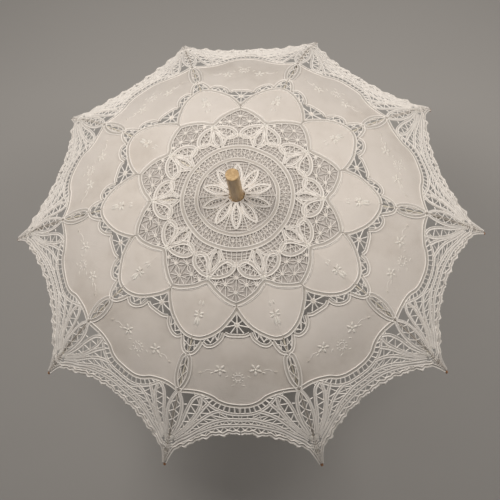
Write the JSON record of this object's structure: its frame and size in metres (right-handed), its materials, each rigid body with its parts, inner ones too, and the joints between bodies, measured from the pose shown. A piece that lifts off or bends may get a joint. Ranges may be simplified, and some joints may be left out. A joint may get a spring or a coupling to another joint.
{
  "type": "lace parasol",
  "caption": "Open lace parasol on a turned wooden stick, with ribs, stretchers and a runner that fold the openwork cover down along the stick.",
  "frame": {"origin": "centre of the handle's foot, at the bottom of the stick", "axes": "+Z along the stick towards the ferrule, +X along the first rib"},
  "size_m": [0.8048, 0.7656, 0.686],
  "materials": {
    "stick_wood": "satin varnish",
    "ferrule_wood": "satin varnish, end grain on top",
    "notch_wood": "turned, satin",
    "collar": "polished",
    "steel": "plain",
    "frame": "ivory lacquer",
    "caps": "copper brown",
    "lace": "matte cotton lace, ecru"
  },
  "bodies": {
    "stick": {"shaft": "stick_wood", "handle": "stick_wood", "handle_collar": "collar", "ferrule": "ferrule_wood", "crown": "notch_wood", "crown_wire": "steel", "crown_pin": "steel", "stop_pin": "steel", "catch_pins": "steel"},
    "rib_01": {"rib_01": "frame", "rib_trim_01": "caps", "canopy_01": "lace"},
    "rib_02": {"rib_02": "frame", "rib_trim_02": "caps", "canopy_02": "lace"},
    "rib_03": {"rib_03": "frame", "rib_trim_03": "caps", "canopy_03": "lace"},
    "rib_04": {"rib_04": "frame", "rib_trim_04": "caps", "canopy_04": "lace"},
    "rib_05": {"rib_05": "frame", "rib_trim_05": "caps", "canopy_05": "lace"},
    "rib_06": {"rib_06": "frame", "rib_trim_06": "caps", "canopy_06": "lace"},
    "rib_07": {"rib_07": "frame", "rib_trim_07": "caps", "canopy_07": "lace"},
    "rib_08": {"rib_08": "frame", "rib_trim_08": "caps", "canopy_08": "lace"},
    "rib_09": {"rib_09": "frame", "rib_trim_09": "caps", "canopy_09": "lace"},
    "rib_10": {"rib_10": "frame", "rib_trim_10": "caps", "canopy_10": "lace"},
    "stretcher_01": {"stretcher_01": "frame"},
    "stretcher_02": {"stretcher_02": "frame"},
    "stretcher_03": {"stretcher_03": "frame"},
    "stretcher_04": {"stretcher_04": "frame"},
    "stretcher_05": {"stretcher_05": "frame"},
    "stretcher_06": {"stretcher_06": "frame"},
    "stretcher_07": {"stretcher_07": "frame"},
    "stretcher_08": {"stretcher_08": "frame"},
    "stretcher_09": {"stretcher_09": "frame"},
    "stretcher_10": {"stretcher_10": "frame"},
    "runner": {"runner": "notch_wood", "runner_wire": "steel"},
    "top_catch": {"top_catch": "steel"},
    "bottom_catch": {"bottom_catch": "steel"}
  },
  "joints": [
    {"name": "rib_01_fold", "type": "hinge", "parent": "stick", "child": "rib_01", "pos_m": [0.011, 0, 0.60589], "axis": [0, 1, 0], "range_deg": [0, 65], "deforming": ["canopy_01"]},
    {"name": "rib_02_fold", "type": "hinge", "parent": "stick", "child": "rib_02", "pos_m": [0.0089, 0.00647, 0.60589], "axis": [-0.5878, 0.809, 0], "range_deg": [0, 65], "deforming": ["canopy_02"]},
    {"name": "rib_03_fold", "type": "hinge", "parent": "stick", "child": "rib_03", "pos_m": [0.0034, 0.01046, 0.60589], "axis": [-0.9511, 0.309, 0], "range_deg": [0, 65], "deforming": ["canopy_03"]},
    {"name": "rib_04_fold", "type": "hinge", "parent": "stick", "child": "rib_04", "pos_m": [-0.0034, 0.01046, 0.60589], "axis": [-0.9511, -0.309, 0], "range_deg": [0, 65], "deforming": ["canopy_04"]},
    {"name": "rib_05_fold", "type": "hinge", "parent": "stick", "child": "rib_05", "pos_m": [-0.0089, 0.00647, 0.60589], "axis": [-0.5878, -0.809, 0], "range_deg": [0, 65], "deforming": ["canopy_05"]},
    {"name": "rib_06_fold", "type": "hinge", "parent": "stick", "child": "rib_06", "pos_m": [-0.011, 0, 0.60589], "axis": [0, -1, 0], "range_deg": [0, 65], "deforming": ["canopy_06"]},
    {"name": "rib_07_fold", "type": "hinge", "parent": "stick", "child": "rib_07", "pos_m": [-0.0089, -0.00647, 0.60589], "axis": [0.5878, -0.809, 0], "range_deg": [0, 65], "deforming": ["canopy_07"]},
    {"name": "rib_08_fold", "type": "hinge", "parent": "stick", "child": "rib_08", "pos_m": [-0.0034, -0.01046, 0.60589], "axis": [0.9511, -0.309, 0], "range_deg": [0, 65], "deforming": ["canopy_08"]},
    {"name": "rib_09_fold", "type": "hinge", "parent": "stick", "child": "rib_09", "pos_m": [0.0034, -0.01046, 0.60589], "axis": [0.9511, 0.309, 0], "range_deg": [0, 65], "deforming": ["canopy_09"]},
    {"name": "rib_10_fold", "type": "hinge", "parent": "stick", "child": "rib_10", "pos_m": [0.0089, -0.00647, 0.60589], "axis": [0.5878, 0.809, 0], "range_deg": [0, 65], "deforming": ["canopy_10"]},
    {"name": "stretcher_01_pivot", "type": "hinge", "parent": "rib_01", "child": "stretcher_01", "pos_m": [0.185, 0, 0.57348], "axis": [0, 1, 0], "range_deg": [-130, 0]},
    {"name": "stretcher_02_pivot", "type": "hinge", "parent": "rib_02", "child": "stretcher_02", "pos_m": [0.14967, 0.10874, 0.57348], "axis": [-0.5878, 0.809, 0], "range_deg": [-130, 0]},
    {"name": "stretcher_03_pivot", "type": "hinge", "parent": "rib_03", "child": "stretcher_03", "pos_m": [0.05717, 0.17595, 0.57348], "axis": [-0.9511, 0.309, 0], "range_deg": [-130, 0]},
    {"name": "stretcher_04_pivot", "type": "hinge", "parent": "rib_04", "child": "stretcher_04", "pos_m": [-0.05717, 0.17595, 0.57348], "axis": [-0.9511, -0.309, 0], "range_deg": [-130, 0]},
    {"name": "stretcher_05_pivot", "type": "hinge", "parent": "rib_05", "child": "stretcher_05", "pos_m": [-0.14967, 0.10874, 0.57348], "axis": [-0.5878, -0.809, 0], "range_deg": [-130, 0]},
    {"name": "stretcher_06_pivot", "type": "hinge", "parent": "rib_06", "child": "stretcher_06", "pos_m": [-0.185, 0, 0.57348], "axis": [0, -1, 0], "range_deg": [-130, 0]},
    {"name": "stretcher_07_pivot", "type": "hinge", "parent": "rib_07", "child": "stretcher_07", "pos_m": [-0.14967, -0.10874, 0.57348], "axis": [0.5878, -0.809, 0], "range_deg": [-130, 0]},
    {"name": "stretcher_08_pivot", "type": "hinge", "parent": "rib_08", "child": "stretcher_08", "pos_m": [-0.05717, -0.17595, 0.57348], "axis": [0.9511, -0.309, 0], "range_deg": [-130, 0]},
    {"name": "stretcher_09_pivot", "type": "hinge", "parent": "rib_09", "child": "stretcher_09", "pos_m": [0.05717, -0.17595, 0.57348], "axis": [0.9511, 0.309, 0], "range_deg": [-130, 0]},
    {"name": "stretcher_10_pivot", "type": "hinge", "parent": "rib_10", "child": "stretcher_10", "pos_m": [0.14967, -0.10874, 0.57348], "axis": [0.5878, 0.809, 0], "range_deg": [-130, 0]},
    {"name": "runner_pivot", "type": "hinge", "parent": "stretcher_01", "child": "runner", "pos_m": [0.011, 0, 0.54108], "axis": [0, 1, 0], "range_deg": [0, 65]},
    {"name": "top_catch_press", "type": "hinge", "parent": "stick", "child": "top_catch", "pos_m": [0, 0.003, 0.47688], "axis": [-1, 0, 0], "range_deg": [0, 10], "stiffness_Nm_per_rad": 0.3, "springref_deg": 10},
    {"name": "bottom_catch_press", "type": "hinge", "parent": "stick", "child": "bottom_catch", "pos_m": [0, 0.003, 0.2598], "axis": [1, 0, 0], "range_deg": [0, 10], "stiffness_Nm_per_rad": 0.3, "springref_deg": 10}
  ],
  "couplings": [
    {"joint": "rib_02_fold", "follows": "rib_01_fold", "ratio": 1},
    {"joint": "rib_03_fold", "follows": "rib_01_fold", "ratio": 1},
    {"joint": "rib_04_fold", "follows": "rib_01_fold", "ratio": 1},
    {"joint": "rib_05_fold", "follows": "rib_01_fold", "ratio": 1},
    {"joint": "rib_06_fold", "follows": "rib_01_fold", "ratio": 1},
    {"joint": "rib_07_fold", "follows": "rib_01_fold", "ratio": 1},
    {"joint": "rib_08_fold", "follows": "rib_01_fold", "ratio": 1},
    {"joint": "rib_09_fold", "follows": "rib_01_fold", "ratio": 1},
    {"joint": "rib_10_fold", "follows": "rib_01_fold", "ratio": 1},
    {"joint": "stretcher_01_pivot", "follows": "rib_01_fold", "ratio": -2},
    {"joint": "stretcher_02_pivot", "follows": "rib_01_fold", "ratio": -2},
    {"joint": "stretcher_03_pivot", "follows": "rib_01_fold", "ratio": -2},
    {"joint": "stretcher_04_pivot", "follows": "rib_01_fold", "ratio": -2},
    {"joint": "stretcher_05_pivot", "follows": "rib_01_fold", "ratio": -2},
    {"joint": "stretcher_06_pivot", "follows": "rib_01_fold", "ratio": -2},
    {"joint": "stretcher_07_pivot", "follows": "rib_01_fold", "ratio": -2},
    {"joint": "stretcher_08_pivot", "follows": "rib_01_fold", "ratio": -2},
    {"joint": "stretcher_09_pivot", "follows": "rib_01_fold", "ratio": -2},
    {"joint": "stretcher_10_pivot", "follows": "rib_01_fold", "ratio": -2},
    {"joint": "runner_pivot", "follows": "rib_01_fold", "ratio": 1}
  ]
}
